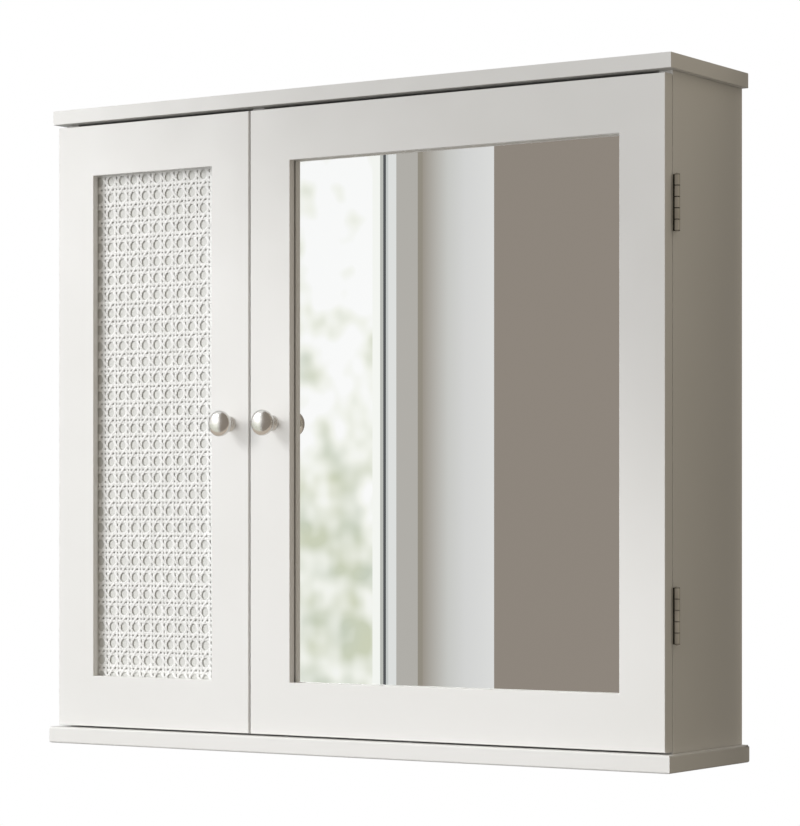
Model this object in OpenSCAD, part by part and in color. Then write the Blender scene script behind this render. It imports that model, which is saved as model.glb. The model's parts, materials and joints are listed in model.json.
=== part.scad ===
// Hanging wall cabinet with a narrow cane-panel door and a wide mirror door.
// Millimetres. The origin is the centre of the rear face, which lies on the wall.
// +X is to the right seen from the front, +Y points into the wall, +Z is up.

/* [Carcass] */
// Height over the top and bottom boards
cabinet_h = 550; // [520:1:620]
// Width over the outer faces of the two side panels
body_w = 596; // [570:1:700]
// Depth of the side panels, from the wall to their front edges
carcass_d = 117.4; // [110:0.1:150]
// Thickness of the side panels, divider, shelves and hanging rail
panel_t = 12; // [12:0.5:15]
// Thickness of the top board
top_t = 12; // [12:0.5:18]
// Thickness of the bottom board
bottom_t = 14; // [12:0.5:18]
// How far the top board stands out past each side panel
top_side_overhang = 5.5; // [0:0.5:20]
// How far the top board stands out past the door fronts
top_front_overhang = 0.8; // [0:0.1:15]
// How far the bottom board stands out past each side panel
bottom_side_overhang = 6.5; // [0:0.5:20]
// How far the bottom board stands out past the door fronts
bottom_front_overhang = 5; // [0:0.5:15]
// Thickness of the back panel
back_t = 3; // [3:0.5:4]
// Width of the rebate that the back panel sits in
back_rebate = 6; // [4:0.5:8]

/* [Interior] */
// Centre of the vertical divider and of the split between the doors
divider_x = -93; // [-110:1:-70]
// Underside of the lower shelves
lower_shelf_z = -95; // [-110:1:-85]
// Underside of the upper shelves
upper_shelf_z = 84; // [80:1:100]
// Depth of the shelves
shelf_d = 96; // [70:1:96]
// Step between the holes that the shelf pins can be moved to
shelf_step = 32; // [25:1:34]
// Radius of a shelf pin
shelf_pin_r = 2.5; // [2:0.1:3]
// Height of the hanging rail
rail_h = 60; // [50:1:80]
// Distance between the two wall screws in the hanging rail
wall_screw_spacing = 400; // [350:10:450]
// Radius of the wall screw holes
wall_hole_r = 2.75; // [2:0.05:3.5]

/* [Doors] */
// Thickness of the door frames
door_t = 12; // [12:0.5:15]
// Gap between the doors and the top board
door_top_gap = 3.2; // [1:0.1:5]
// Gap between the doors and the bottom board
door_bottom_gap = 1.5; // [1:0.1:5]
// Gap between the two doors
door_split_gap = 2; // [1:0.1:4]
// Width of the stiles of the cane door
cane_stile_w = 38.5; // [36:0.5:50]
// Width of the stiles of the mirror door
mirror_stile_w = 40; // [38:0.5:60]
// Height of the top and bottom rails of both doors
door_rail_h = 43.7; // [40:0.1:70]
// Depth of the lip in front of the cane and the mirror
lip_t = 6.5; // [5:0.5:7]
// Width of the rebate behind the lip
panel_rebate = 8; // [6:0.5:9]
// Thickness of the cane webbing
cane_t = 1.6; // [1:0.1:2]
// Thickness of the mirror glass
mirror_t = 3; // [2:0.5:4]

/* [Hinges] */
// Length of a hinge leaf
hinge_l = 43.4; // [40:0.1:50]
// Centre of the upper hinges
upper_hinge_z = 161.3; // [140:0.1:180]
// Centre of the lower hinges
lower_hinge_z = -155.2; // [-180:0.1:-140]
// Thickness of a hinge leaf
leaf_t = 0.8; // [0.6:0.1:1]
// Outer radius of a hinge barrel
barrel_r = 2.3; // [2:0.05:2.6]
// Radius of a hinge pin
hinge_pin_r = 1; // [0.8:0.05:1.2]
// How far the hinge pins stand outside the side panels
hinge_pin_out = 3.9; // [3:0.1:4]

/* [Knobs] */
// Largest radius of a knob's head
knob_r = 10.8; // [9:0.1:14]
// How far a knob stands out of the door
knob_l = 19.4; // [18.5:0.1:26]
// Height of the knobs
knob_z = -1; // [-10:0.5:10]
// Distance of the left knob from the free edge of its door
left_knob_in = 19.2; // [16:0.1:24]
// Distance of the right knob from the free edge of its door
right_knob_in = 22.4; // [18:0.1:26]

/* [Hidden] */
$fn = 48;

// Room left round a fastener, dowel or pin in its hole
hole_gap = 0.05;
// Room left round a board that sits in a rebate or between two panels
board_gap = 0.25;
// Amount by which a cutting shape passes the face that it cuts
cut = 1;

// Carcass planes
half_w = body_w / 2;
inner_x = half_w - panel_t;
top_z = cabinet_h / 2;
ceiling_z = top_z - top_t;
floor_z = -top_z + bottom_t;
edge_y = -carcass_d;
divider_left = divider_x - panel_t / 2;
divider_right = divider_x + panel_t / 2;

// Hinge axis, and the thin gap between closed leaves
leaf_gap = 0.3;
leaf_w = panel_t - 0.5;
hinge_x = half_w + hinge_pin_out;
hinge_y = edge_y - leaf_t - leaf_gap / 2;
knuckles = 5;
knuckle_gap = 0.3;
knuckle_l = (hinge_l - (knuckles - 1) * knuckle_gap) / knuckles;
hinge_screw_z = 13;
hinge_zs = [lower_hinge_z, upper_hinge_z];

// Door planes
door_back_y = edge_y - leaf_t - leaf_gap;
door_front_y = door_back_y - door_t;
door_low_z = floor_z + door_bottom_gap;
door_high_z = ceiling_z - door_top_gap;
seat_y = door_front_y + lip_t;
left_door_x = [-half_w, divider_x - door_split_gap / 2];
right_door_x = [divider_x + door_split_gap / 2, half_w];
cane_window_x = [left_door_x[0] + cane_stile_w, left_door_x[1] - cane_stile_w];
mirror_window_x = [right_door_x[0] + mirror_stile_w, right_door_x[1] - mirror_stile_w];
window_z = [door_low_z + door_rail_h, door_high_z - door_rail_h];
left_knob_x = left_door_x[1] - left_knob_in;
right_knob_x = right_door_x[0] + right_knob_in;

// Hanging rail and wall screws
rail_z = [ceiling_z - rail_h, ceiling_z];
rail_y = [-back_t - panel_t, -back_t];
wall_hole_z = ceiling_z - rail_h / 2;

// Shelves
shelf_y = [-back_t - 1 - shelf_d, -back_t - 1];
shelf_pin_ys = [shelf_y[0] + 18, shelf_y[1] - 24];
shelf_pin_in = 5;
shelf_pin_out = 8;
shelf_zs = [lower_shelf_z, upper_shelf_z];
left_bay_x = [-inner_x, divider_left];
right_bay_x = [divider_right, inner_x];

// Joints between the upright panels and the top and bottom boards
upright_xs = [-(half_w - panel_t / 2), divider_x, half_w - panel_t / 2];
assembly_screw_ys = [edge_y + 22, -36];
assembly_dowel_y = (edge_y + 22 - 36) / 2;
dowel_r = 3;
dowel_in_board = 8;
dowel_in_panel = 16;
rail_dowel_zs = [wall_hole_z - 18, wall_hole_z + 18];

// Screws: head radius, head height, shank radius, length
assembly_screw = [4, 2.6, 2, 42];
back_screw = [2.6, 1.4, 1.25, 16];
frame_leaf_screw = [2.4, 1.3, 1.25, 15];
door_leaf_screw = [2.4, 1.3, 1.25, 10];
small_screw = [2.6, 1.4, 1.2, 10];
catch_screw = [2.6, 1.4, 1.2, 8.5];

// Back panel screws, as [x, z] on the rear face
back_edge = back_rebate / 2;
back_screw_places = concat(
    [for (x = [-200, 0, 200], z = [ceiling_z + back_edge, floor_z - back_edge]) [x, z]],
    [for (x = [-inner_x - back_edge, divider_x, inner_x + back_edge], z = [-130, 130]) [x, z]]
);

// Magnetic catches on the two faces of the divider
left_catch_z = 42;
right_catch_z = -42;
catch_w = 14;
catch_front_y = edge_y + 1;
catch_d = 14;
catch_half_l = 14;
catch_wall = 2;
ear_t = 3;
ear_l = 9;
ear_screw_z = catch_half_l + ear_l / 2;
pole_t = 1.2;
pole_front_y = edge_y + 0.2;
pole_back_y = catch_front_y + catch_d - catch_wall;
pole_half_l = catch_half_l - catch_wall - 0.5;
plate_t = 1;
strike_half_w = 6;
strike_half_l = 12;

// Clips that hold the cane and the mirror in their rebates
clip_t = 1;
clip_half_l = 10;
clip_on_frame = 9;
clip_on_board = 7;
clip_screw_in = 4.5;
clip_side_z = 150;

// Knob screw
knob_screw_r = 2;
knob_screw_in = 9;
knob_screw_head_r = 4;
knob_screw_head_h = 2;

// Half section of a knob, as [radius, distance from the door]: a turned foot, two rings and a domed head
head_at = knob_l - 9.6;
rim_at = knob_l - 5;
dome_at = knob_l - 4;
neck_r = 5.4;
knob_profile = concat(
    [[0, 0], [6.5, 0], [6.5, 2.2], [5.2, 3], [5.2, 3.6], [6.2, 4.2], [6.2, 5.4], [4.8, 6.2]],
    [[4.8, head_at - 2.4], [6.75, head_at - 1.7], [6.75, head_at - 0.5]],
    [for (a = [0 : 15 : 90]) [neck_r + (knob_r - neck_r) * sin(a), rim_at - (rim_at - head_at) * cos(a)]],
    [for (a = [0 : 10 : 90]) [knob_r * cos(a), dome_at + (knob_l - dome_at) * sin(a)]]
);

white = [0.93, 0.93, 0.91];
bare_board = [0.74, 0.63, 0.5];
steel = [0.72, 0.72, 0.7];
nickel = [0.66, 0.65, 0.62];

// A box between two corners
module box(low, high) {
    translate(low) cube(high - low);
}

// A cylinder that starts at a point and runs along +X, +Y or +Z
module rod_x(start, r, l) {
    translate(start) rotate([0, 90, 0]) cylinder(r = r, h = l);
}

module rod_y(start, r, l) {
    translate(start) rotate([-90, 0, 0]) cylinder(r = r, h = l);
}

// A countersunk screw: its head's face is at z = 0 and it points along -Z
module screw(size) {
    difference() {
        screw_shape(size, 0);
        for (turn = [0, 90]) rotate([0, 0, turn])
            translate([0, 0, -size[1] / 4]) cube([size[0], size[0] / 5, size[1] / 2 + 0.01], center = true);
    }
}

// The solid outline of a screw, grown by a gap to make its hole
module screw_shape(size, gap) {
    tip_l = size[2] * 2;
    translate([0, 0, -size[1]]) cylinder(r1 = size[2] + gap, r2 = size[0] + gap, h = size[1]);
    translate([0, 0, tip_l - size[3]]) cylinder(r = size[2] + gap, h = size[3] - tip_l);
    translate([0, 0, -size[3]]) cylinder(r1 = size[2] / 3 + gap, r2 = size[2] + gap, h = tip_l);
}

// Turns a shape that points along -Z so that it points along another axis
module point_up() {
    rotate([180, 0, 0]) children();
}

module point_front() {
    rotate([-90, 0, 0]) children();
}

module point_back() {
    rotate([90, 0, 0]) children();
}

module point_right() {
    rotate([0, -90, 0]) children();
}

// Copies its children to the other side of the cabinet
module on_side(side) {
    if (side > 0) children();
    else mirror([1, 0, 0]) children();
}

// Holes or screws of the joints with the top board, or with the bottom board
module assembly_screws_at(top) {
    for (x = upright_xs, y = assembly_screw_ys)
        if (top) translate([x, y, top_z]) children();
        else translate([x, y, -top_z]) point_up() children();
}

// Dowels between the uprights and the top and bottom boards, grown by a gap
module upright_dowels(gap) {
    for (x = upright_xs) {
        translate([x, assembly_dowel_y, ceiling_z - dowel_in_panel - gap])
            cylinder(r = dowel_r + gap, h = dowel_in_panel + dowel_in_board + 2 * gap);
        translate([x, assembly_dowel_y, floor_z - dowel_in_board - gap])
            cylinder(r = dowel_r + gap, h = dowel_in_panel + dowel_in_board + 2 * gap);
    }
}

// Dowels between the hanging rail and the side panels, grown by a gap
module rail_dowels(gap) {
    for (z = rail_dowel_zs, side = [-1, 1]) on_side(side)
        rod_x([inner_x - dowel_in_panel - gap, -back_t - panel_t / 2, z],
            dowel_r + gap, dowel_in_panel + dowel_in_board + 2 * gap);
}

// Screws or holes for the back panel
module at_back_screws() {
    for (place = back_screw_places)
        translate([place[0], 0, place[1]]) point_front() children();
}

// Rows of shelf pin holes that run along X between two planes
module shelf_pin_holes(low_x, high_x) {
    for (shelf = shelf_zs, y = shelf_pin_ys, step = [-1, 0, 1])
        rod_x([low_x, y, shelf - shelf_pin_r + step * shelf_step], shelf_pin_r + hole_gap, high_x - low_x);
}

// Pins under both shelves of one bay
module bay_pins(bay) {
    length = shelf_pin_in + shelf_pin_out;
    for (shelf = shelf_zs, y = shelf_pin_ys) {
        rod_x([bay[0] - shelf_pin_in, y, shelf - shelf_pin_r], shelf_pin_r, length);
        rod_x([bay[1] - shelf_pin_out, y, shelf - shelf_pin_r], shelf_pin_r, length);
    }
}

module shelf(bay, z) {
    color(white) box([bay[0] + board_gap, shelf_y[0], z], [bay[1] - board_gap, shelf_y[1], z + panel_t]);
}

// Top or bottom board, with the rebate for the back panel and the screw and dowel holes
module deck(low_z, high_z, side_overhang, front_overhang, is_top) {
    reach = half_w + side_overhang;
    color(white) difference() {
        box([-reach, door_front_y - front_overhang, low_z], [reach, 0, high_z]);
        box([-inner_x - back_rebate, -back_t, is_top ? low_z - cut : high_z - back_rebate],
            [inner_x + back_rebate, cut, is_top ? low_z + back_rebate : high_z + cut]);
        assembly_screws_at(is_top) screw_shape(assembly_screw, hole_gap);
        upright_dowels(hole_gap);
        at_back_screws() screw_shape(back_screw, hole_gap);
    }
}

module top_board() {
    deck(ceiling_z, top_z, top_side_overhang, top_front_overhang, true);
}

module bottom_board() {
    deck(-top_z, floor_z, bottom_side_overhang, bottom_front_overhang, false);
}

// A side panel, drawn on the right
module side_panel(side) {
    color(white) on_side(side) difference() {
        box([inner_x, edge_y, floor_z], [half_w, 0, ceiling_z]);
        box([inner_x - cut, -back_t, floor_z - cut], [inner_x + back_rebate, cut, ceiling_z + cut]);
        shelf_pin_holes(inner_x - cut, inner_x + shelf_pin_in + hole_gap);
        carcass_holes();
        frame_leaf_screws_side() screw_shape(frame_leaf_screw, hole_gap);
        rail_dowels(hole_gap);
    }
}

module left_side_panel() {
    side_panel(-1);
}

module right_side_panel() {
    side_panel(1);
}

// Screw, dowel and back panel screw holes that run through several boards
module carcass_holes() {
    for (top = [true, false]) assembly_screws_at(top) screw_shape(assembly_screw, hole_gap);
    upright_dowels(hole_gap);
    at_back_screws() screw_shape(back_screw, hole_gap);
}

module centre_divider() {
    color(white) difference() {
        box([divider_left, edge_y, floor_z], [divider_right, -back_t, ceiling_z]);
        box([divider_left - cut, rail_y[0] - board_gap, rail_z[0] - board_gap],
            [divider_right + cut, rail_y[1] + cut, rail_z[1] + cut]);
        shelf_pin_holes(divider_left - cut, divider_left + shelf_pin_in + hole_gap);
        shelf_pin_holes(divider_right - shelf_pin_in - hole_gap, divider_right + cut);
        carcass_holes();
        catch_screws_at(-1) screw_shape(catch_screw, hole_gap);
        catch_screws_at(1) screw_shape(catch_screw, hole_gap);
    }
}

module back_panel() {
    x = inner_x + back_rebate - board_gap;
    color(white) difference() {
        box([-x, -back_t, floor_z - back_rebate + board_gap], [x, 0, ceiling_z + back_rebate - board_gap]);
        at_back_screws() screw_shape(back_screw, hole_gap);
        wall_holes();
    }
}

module wall_holes() {
    length = panel_t + back_t + 2 * cut;
    for (side = [-1, 1])
        rod_y([side * wall_screw_spacing / 2, rail_y[0] - cut, wall_hole_z], wall_hole_r, length);
}

module hanging_rail() {
    color(white) difference() {
        box([-inner_x, rail_y[0], rail_z[0]], [inner_x, rail_y[1], rail_z[1]]);
        wall_holes();
        rail_dowels(hole_gap);
    }
}

module left_lower_shelf() {
    shelf(left_bay_x, lower_shelf_z);
}

module left_upper_shelf() {
    shelf(left_bay_x, upper_shelf_z);
}

module right_lower_shelf() {
    shelf(right_bay_x, lower_shelf_z);
}

module right_upper_shelf() {
    shelf(right_bay_x, upper_shelf_z);
}

module left_shelf_pins() {
    color(steel) bay_pins(left_bay_x);
}

module right_shelf_pins() {
    color(steel) bay_pins(right_bay_x);
}

module assembly_screws() {
    color(steel) for (top = [true, false]) assembly_screws_at(top) screw(assembly_screw);
}

module wooden_dowels() {
    color(bare_board) {
        upright_dowels(0);
        rail_dowels(0);
    }
}

module back_panel_screws() {
    color(steel) at_back_screws() screw(back_screw);
}

// Places its children on a hinge's axis
module at_hinge(side, z) {
    on_side(side) translate([hinge_x, hinge_y, z]) children();
}

// One hinge leaf on its axis: a plate to the left and every other knuckle
module hinge_leaf(plate_y, first_knuckle, screw_size) {
    color(nickel) difference() {
        union() {
            box([-hinge_pin_out - leaf_w, plate_y, -hinge_l / 2],
                [-barrel_r - leaf_gap, plate_y + leaf_t, hinge_l / 2]);
            for (k = [first_knuckle : 2 : knuckles - 1])
                translate([0, 0, -hinge_l / 2 + k * (knuckle_l + knuckle_gap)]) {
                    cylinder(r = barrel_r, h = knuckle_l);
                    box([-barrel_r - leaf_gap - 0.5, plate_y, 0], [0, plate_y + leaf_t, knuckle_l]);
                }
        }
        translate([0, 0, -hinge_l]) cylinder(r = hinge_pin_r + hole_gap, h = 2 * hinge_l);
        if (first_knuckle == 0) frame_leaf_screw_pair() screw_shape(screw_size, hole_gap);
        else door_leaf_screw_pair() screw_shape(screw_size, hole_gap);
    }
}

// The two screws of a frame leaf, in the leaf's own place
module frame_leaf_screw_pair() {
    for (z = [-hinge_screw_z, hinge_screw_z])
        translate([-hinge_pin_out - panel_t / 2, leaf_gap / 2, z]) point_back() children();
}

// The two screws of a door leaf, in the leaf's own place
module door_leaf_screw_pair() {
    for (z = [-hinge_screw_z, hinge_screw_z])
        translate([-hinge_pin_out - panel_t / 2, -leaf_gap / 2, z]) point_front() children();
}

// Frame leaf screws of the right side panel
module frame_leaf_screws_side() {
    for (z = hinge_zs) at_hinge(1, z) frame_leaf_screw_pair() children();
}

module frame_leaf(side, z) {
    at_hinge(side, z) hinge_leaf(leaf_gap / 2, 0, frame_leaf_screw);
}

module door_leaf(side, z) {
    at_hinge(side, z) hinge_leaf(-leaf_gap / 2 - leaf_t, 1, door_leaf_screw);
}

// A hinge pin with a domed tip at each end of the barrel
module hinge_pin(side, z) {
    tip_r = 1.9;
    tip_h = 0.9;
    color(nickel) at_hinge(side, z) {
        cylinder(r = hinge_pin_r, h = hinge_l + 0.02, center = true);
        for (end = [0, 1]) mirror([0, 0, end]) translate([0, 0, hinge_l / 2 + 0.01]) {
            cylinder(r = tip_r, h = tip_h / 3);
            translate([0, 0, tip_h / 3]) cylinder(r1 = tip_r, r2 = tip_r / 2, h = tip_h * 2 / 3);
        }
    }
}

module left_upper_hinge_frame_leaf() {
    frame_leaf(-1, upper_hinge_z);
}

module left_lower_hinge_frame_leaf() {
    frame_leaf(-1, lower_hinge_z);
}

module right_upper_hinge_frame_leaf() {
    frame_leaf(1, upper_hinge_z);
}

module right_lower_hinge_frame_leaf() {
    frame_leaf(1, lower_hinge_z);
}

module left_upper_hinge_pin() {
    hinge_pin(-1, upper_hinge_z);
}

module left_lower_hinge_pin() {
    hinge_pin(-1, lower_hinge_z);
}

module right_upper_hinge_pin() {
    hinge_pin(1, upper_hinge_z);
}

module right_lower_hinge_pin() {
    hinge_pin(1, lower_hinge_z);
}

module left_upper_hinge_door_leaf() {
    door_leaf(-1, upper_hinge_z);
}

module left_lower_hinge_door_leaf() {
    door_leaf(-1, lower_hinge_z);
}

module right_upper_hinge_door_leaf() {
    door_leaf(1, upper_hinge_z);
}

module right_lower_hinge_door_leaf() {
    door_leaf(1, lower_hinge_z);
}

module frame_hinge_screws() {
    color(steel) for (side = [-1, 1]) on_side(side) frame_leaf_screws_side() screw(frame_leaf_screw);
}

module left_door_hinge_screws() {
    color(steel) for (z = hinge_zs) at_hinge(-1, z) door_leaf_screw_pair() screw(door_leaf_screw);
}

module right_door_hinge_screws() {
    color(steel) for (z = hinge_zs) at_hinge(1, z) door_leaf_screw_pair() screw(door_leaf_screw);
}

// Places its children on the divider's face: their +X runs away from the divider
module at_catch(side) {
    if (side > 0) translate([divider_right, 0, right_catch_z]) children();
    else translate([divider_left, 0, left_catch_z]) mirror([1, 0, 0]) children();
}

module catch_screws_at(side) {
    at_catch(side) for (z = [-ear_screw_z, ear_screw_z])
        translate([ear_t, catch_front_y + catch_d / 2, z]) rotate([0, 90, 0]) children();
}

module catch_case(side) {
    color([0.9, 0.9, 0.88]) difference() {
        at_catch(side) difference() {
            union() {
                box([0, catch_front_y, -catch_half_l], [catch_w, catch_front_y + catch_d, catch_half_l]);
                box([0, catch_front_y + 2, -catch_half_l - ear_l],
                    [ear_t, catch_front_y + catch_d - 2, catch_half_l + ear_l]);
            }
            box([catch_wall, catch_front_y - cut, -catch_half_l + catch_wall],
                [catch_w - catch_wall, pole_back_y, catch_half_l - catch_wall]);
        }
        catch_screws_at(side) screw_shape(catch_screw, hole_gap);
    }
}

module left_catch_case() {
    catch_case(-1);
}

module right_catch_case() {
    catch_case(1);
}

module catch_magnet(side) {
    x = catch_wall + 0.2 + pole_t;
    color([0.18, 0.18, 0.18]) at_catch(side)
        box([x, catch_front_y, -pole_half_l], [catch_w - x, pole_back_y, pole_half_l]);
}

module left_catch_magnet() {
    catch_magnet(-1);
}

module right_catch_magnet() {
    catch_magnet(1);
}

module catch_pole_plates() {
    x = catch_wall + 0.2;
    color(steel) for (side = [-1, 1]) at_catch(side) for (start = [x, catch_w - x - pole_t])
        box([start, pole_front_y, -pole_half_l], [start + pole_t, pole_back_y, pole_half_l]);
}

module catch_screws() {
    color(steel) for (side = [-1, 1]) catch_screws_at(side) screw(catch_screw);
}

// A door frame: x holds its two edges, window the two edges of its window
module door_frame(x, window, knob_x, side) {
    color(white) difference() {
        box([x[0], door_front_y, door_low_z], [x[1], door_back_y, door_high_z]);
        box([window[0], door_front_y - cut, window_z[0]], [window[1], door_back_y + cut, window_z[1]]);
        box([window[0] - panel_rebate, seat_y, window_z[0] - panel_rebate],
            [window[1] + panel_rebate, door_back_y + cut, window_z[1] + panel_rebate]);
        rod_y([knob_x, door_front_y - cut, knob_z], knob_screw_r + hole_gap, door_t + 2 * cut);
        for (z = hinge_zs) at_hinge(side, z) {
            box([-hinge_pin_out - leaf_w - board_gap, -leaf_gap / 2 - leaf_t, -hinge_l / 2 - board_gap],
                [0, leaf_t, hinge_l / 2 + board_gap]);
            door_leaf_screw_pair() screw_shape(door_leaf_screw, hole_gap);
        }
        at_strike_screw(side) screw_shape(small_screw, hole_gap);
        at_clips(window, side) clip_screw_place() screw_shape(small_screw, hole_gap);
    }
}

module left_door_frame() {
    door_frame(left_door_x, cane_window_x, left_knob_x, -1);
}

module right_door_frame() {
    door_frame(right_door_x, mirror_window_x, right_knob_x, 1);
}

// A sheet that sits in a door's rebate between two depths
module rebate_sheet(window, low_y, high_y) {
    reach = panel_rebate - board_gap;
    box([window[0] - reach, low_y, window_z[0] - reach], [window[1] + reach, high_y, window_z[1] + reach]);
}

module cane_webbing() {
    color([0.95, 0.95, 0.93]) rebate_sheet(cane_window_x, seat_y, seat_y + cane_t);
}

module cane_backing_board() {
    color(white) rebate_sheet(cane_window_x, seat_y + cane_t, door_back_y);
}

module mirror_glass() {
    color([0.75, 0.8, 0.82]) rebate_sheet(mirror_window_x, seat_y, seat_y + mirror_t);
}

module mirror_backing_board() {
    color(bare_board) rebate_sheet(mirror_window_x, seat_y + mirror_t, door_back_y);
}

// Places its children at every clip of a door: their +X runs outwards over the frame
module at_clips(window, side) {
    for (z = [-clip_side_z, clip_side_z]) {
        translate([window[1] + panel_rebate, door_back_y, z]) children();
        translate([window[0] - panel_rebate, door_back_y, z]) mirror([1, 0, 0]) children();
    }
    if (side > 0) {
        middle = (window[0] + window[1]) / 2;
        translate([middle, door_back_y, window_z[1] + panel_rebate]) rotate([0, -90, 0]) children();
        translate([middle, door_back_y, window_z[0] - panel_rebate]) rotate([0, 90, 0]) children();
    }
}

module clip_screw_place() {
    translate([clip_screw_in, clip_t, 0]) point_front() children();
}

module panel_clips(window, side) {
    color(steel) at_clips(window, side) difference() {
        box([-clip_on_board, 0, -clip_half_l], [clip_on_frame, clip_t, clip_half_l]);
        clip_screw_place() screw_shape(small_screw, hole_gap);
    }
}

module left_panel_clips() {
    panel_clips(cane_window_x, -1);
}

module right_panel_clips() {
    panel_clips(mirror_window_x, 1);
}

// Centre of the strike plate on the back of each door
function strike_x(side) = side > 0 ? divider_right + catch_w / 2 : divider_left - catch_w / 2;
function strike_z(side) = side > 0 ? right_catch_z : left_catch_z;

module at_strike_screw(side) {
    translate([strike_x(side), door_back_y + plate_t, strike_z(side)]) point_front() children();
}

module strike_plate(side) {
    color(steel) difference() {
        box([strike_x(side) - strike_half_w, door_back_y, strike_z(side) - strike_half_l],
            [strike_x(side) + strike_half_w, door_back_y + plate_t, strike_z(side) + strike_half_l]);
        at_strike_screw(side) screw_shape(small_screw, hole_gap);
    }
}

module left_strike_plate() {
    strike_plate(-1);
}

module right_strike_plate() {
    strike_plate(1);
}

module left_door_back_screws() {
    color(steel) {
        at_clips(cane_window_x, -1) clip_screw_place() screw(small_screw);
        at_strike_screw(-1) screw(small_screw);
    }
}

module right_door_back_screws() {
    color(steel) {
        at_clips(mirror_window_x, 1) clip_screw_place() screw(small_screw);
        at_strike_screw(1) screw(small_screw);
    }
}

module knob(x) {
    color(nickel) translate([x, door_front_y, knob_z]) rotate([90, 0, 0]) difference() {
        rotate_extrude() polygon(knob_profile);
        translate([0, 0, -cut]) cylinder(r = knob_screw_r + hole_gap, h = cut + knob_screw_in + 1);
    }
}

module knob_screw(x) {
    color(steel) difference() {
        union() {
            rod_y([x, door_front_y - knob_screw_in, knob_z], knob_screw_r, door_t + knob_screw_in);
            rod_y([x, door_back_y, knob_z], knob_screw_head_r, knob_screw_head_h);
        }
        translate([x, door_back_y + knob_screw_head_h, knob_z]) for (turn = [0, 90]) rotate([0, turn, 0])
            cube([knob_screw_head_r, 2, 0.9], center = true);
    }
}

module left_knob() {
    knob(left_knob_x);
}

module right_knob() {
    knob(right_knob_x);
}

module left_knob_screw() {
    knob_screw(left_knob_x);
}

module right_knob_screw() {
    knob_screw(right_knob_x);
}

top_board();
bottom_board();
left_side_panel();
right_side_panel();
centre_divider();
back_panel();
hanging_rail();
left_lower_shelf();
left_upper_shelf();
right_lower_shelf();
right_upper_shelf();
left_shelf_pins();
right_shelf_pins();
assembly_screws();
wooden_dowels();
back_panel_screws();
left_upper_hinge_frame_leaf();
left_lower_hinge_frame_leaf();
right_upper_hinge_frame_leaf();
right_lower_hinge_frame_leaf();
left_upper_hinge_pin();
left_lower_hinge_pin();
right_upper_hinge_pin();
right_lower_hinge_pin();
frame_hinge_screws();
left_catch_case();
right_catch_case();
left_catch_magnet();
right_catch_magnet();
catch_pole_plates();
catch_screws();
left_door_frame();
cane_webbing();
cane_backing_board();
left_panel_clips();
left_door_back_screws();
left_strike_plate();
left_knob();
left_knob_screw();
left_upper_hinge_door_leaf();
left_lower_hinge_door_leaf();
left_door_hinge_screws();
right_door_frame();
mirror_glass();
mirror_backing_board();
right_panel_clips();
right_door_back_screws();
right_strike_plate();
right_knob();
right_knob_screw();
right_upper_hinge_door_leaf();
right_lower_hinge_door_leaf();
right_door_hinge_screws();
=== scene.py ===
import json
import math

import bmesh
import bpy
import numpy as np
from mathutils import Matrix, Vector


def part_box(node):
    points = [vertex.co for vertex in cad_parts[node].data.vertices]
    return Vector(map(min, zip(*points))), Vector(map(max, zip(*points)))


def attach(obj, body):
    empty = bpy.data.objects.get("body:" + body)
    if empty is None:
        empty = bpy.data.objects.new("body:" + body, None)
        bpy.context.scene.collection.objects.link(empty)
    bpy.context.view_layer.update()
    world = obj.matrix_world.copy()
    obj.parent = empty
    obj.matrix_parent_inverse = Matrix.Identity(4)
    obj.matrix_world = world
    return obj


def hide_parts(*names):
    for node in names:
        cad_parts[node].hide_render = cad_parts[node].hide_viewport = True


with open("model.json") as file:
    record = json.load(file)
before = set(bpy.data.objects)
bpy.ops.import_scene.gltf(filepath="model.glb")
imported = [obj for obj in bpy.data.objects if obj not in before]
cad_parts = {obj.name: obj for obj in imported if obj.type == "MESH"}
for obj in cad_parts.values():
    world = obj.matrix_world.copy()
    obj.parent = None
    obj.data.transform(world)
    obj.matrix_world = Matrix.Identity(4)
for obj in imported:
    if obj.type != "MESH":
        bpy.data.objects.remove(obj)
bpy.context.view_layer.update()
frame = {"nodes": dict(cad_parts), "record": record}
MM = 0.001


# ---------------------------------------------------------------- camera

CAMERA_PLACE = (1.3722, -2.1491, -0.0857)
CAMERA_TURN = math.radians(33.09)
CAMERA_LENS = 130.2
CAMERA_SHIFT_UP = 0.1358
SENSOR_WIDTH = 36
SIGHT_REACH = 100


def add_camera():
    data = bpy.data.cameras.new("camera")
    data.lens = CAMERA_LENS
    data.sensor_width = SENSOR_WIDTH
    data.shift_y = CAMERA_SHIFT_UP
    data.clip_end = SIGHT_REACH
    camera = bpy.data.objects.new("camera", data)
    camera.location = CAMERA_PLACE
    camera.rotation_euler = (math.radians(90), 0, CAMERA_TURN)
    bpy.context.scene.collection.objects.link(camera)
    bpy.context.scene.camera = camera


# ---------------------------------------------------------------- node helpers


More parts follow.
